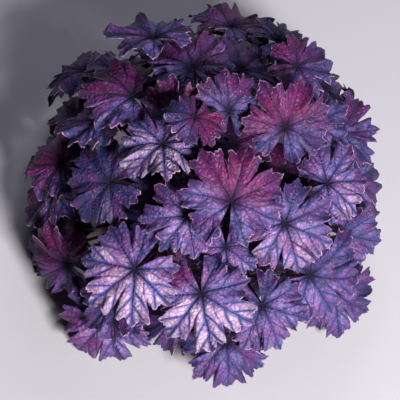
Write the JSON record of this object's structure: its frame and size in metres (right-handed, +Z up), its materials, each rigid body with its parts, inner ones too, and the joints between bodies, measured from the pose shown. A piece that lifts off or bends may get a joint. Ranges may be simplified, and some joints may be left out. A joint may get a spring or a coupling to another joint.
{
  "type": "heuchera plant",
  "caption": "Dense low mound of lobed, ruffled leaves on thin stalks from a woody crown that is cut flat at ground level.",
  "frame": {"origin": "middle of the crown's flat cut face, on the surface that the plant stands on", "axes": "+Z up out of the crown, -Y towards the front of the mound, +X to the right seen from the front"},
  "size_m": [0.3593, 0.3876, 0.2188],
  "materials": {
    "foliage": "satin purple leaf with a silvery lavender bloom and dark veins, plum to magenta underside and stalk",
    "crown": "rough brown woody crown"
  },
  "bodies": {
    "root": {"crown": "crown", "leaf_01": "foliage", "leaf_02": "foliage", "leaf_03_67": "foliage", "leaf_04_68": "foliage", "leaf_05_64": "foliage", "leaf_06_66": "foliage", "leaf_07_62": "foliage", "leaf_08": "foliage", "leaf_09": "foliage", "leaf_10_63": "foliage", "leaf_11": "foliage", "leaf_12_60": "foliage", "leaf_13": "foliage", "leaf_14_70": "foliage", "leaf_15": "foliage", "leaf_16": "foliage", "leaf_17": "foliage", "leaf_18": "foliage", "leaf_19": "foliage", "leaf_20_76": "foliage", "leaf_21": "foliage", "leaf_22": "foliage", "leaf_23": "foliage", "leaf_24": "foliage", "leaf_25": "foliage", "leaf_26": "foliage", "leaf_27": "foliage", "leaf_28": "foliage", "leaf_29": "foliage", "leaf_30": "foliage", "leaf_31": "foliage", "leaf_32": "foliage", "leaf_33_69": "foliage", "leaf_34": "foliage", "leaf_35": "foliage", "leaf_36": "foliage", "leaf_37": "foliage", "leaf_38": "foliage", "leaf_39": "foliage", "leaf_40": "foliage", "leaf_41": "foliage", "leaf_42": "foliage", "leaf_43": "foliage", "leaf_44": "foliage", "leaf_45_71": "foliage", "leaf_46_72": "foliage", "leaf_47": "foliage", "leaf_48": "foliage", "leaf_49_77": "foliage", "leaf_50": "foliage", "leaf_51": "foliage", "leaf_52": "foliage", "leaf_53": "foliage", "leaf_54": "foliage", "leaf_55": "foliage", "leaf_56": "foliage", "leaf_57_74": "foliage", "leaf_58_61": "foliage", "leaf_59": "foliage"}
  },
  "joints": []
}
